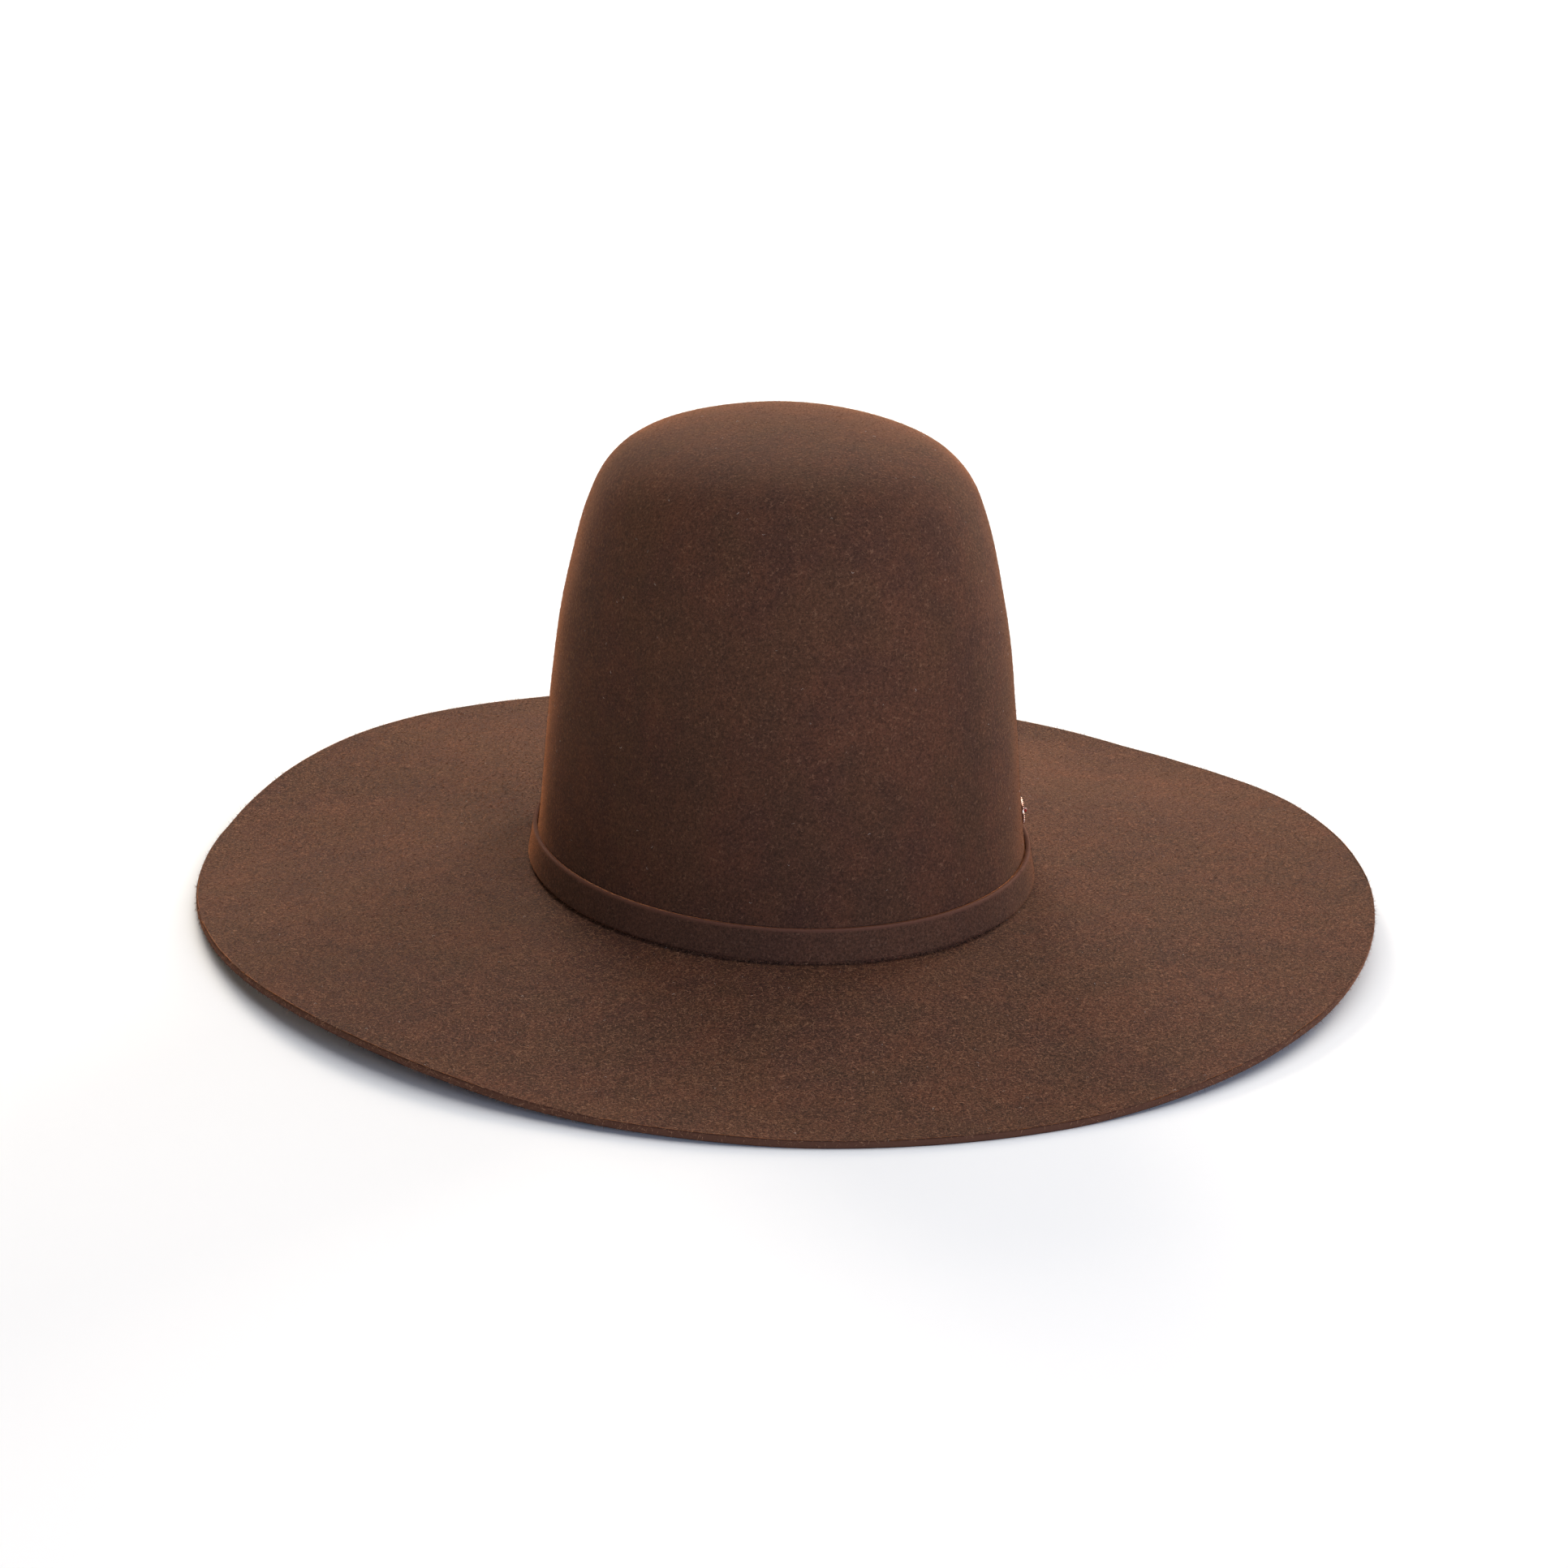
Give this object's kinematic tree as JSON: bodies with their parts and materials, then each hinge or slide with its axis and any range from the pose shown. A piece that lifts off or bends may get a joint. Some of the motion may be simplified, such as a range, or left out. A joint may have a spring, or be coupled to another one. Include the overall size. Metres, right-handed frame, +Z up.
{
  "type": "open-crown felt hat",
  "caption": "Wide-brimmed felt hat with a tall round open crown, a narrow felt band and a small round pin beside the band.",
  "frame": {"origin": "middle of the brim's plan, on the floor that the brim rests on", "axes": "+Z up through the crown, -Y to the front of the hat, +X to the wearer's left"},
  "size_m": [0.418, 0.4672, 0.1773],
  "materials": {
    "felt": "matte, short nap",
    "band_felt": "matte, short nap",
    "pin_metal": "polished copper colour"
  },
  "bodies": {
    "root": {"felt_body": "felt", "hat_band": "band_felt", "crown_pin": "pin_metal"}
  },
  "joints": []
}
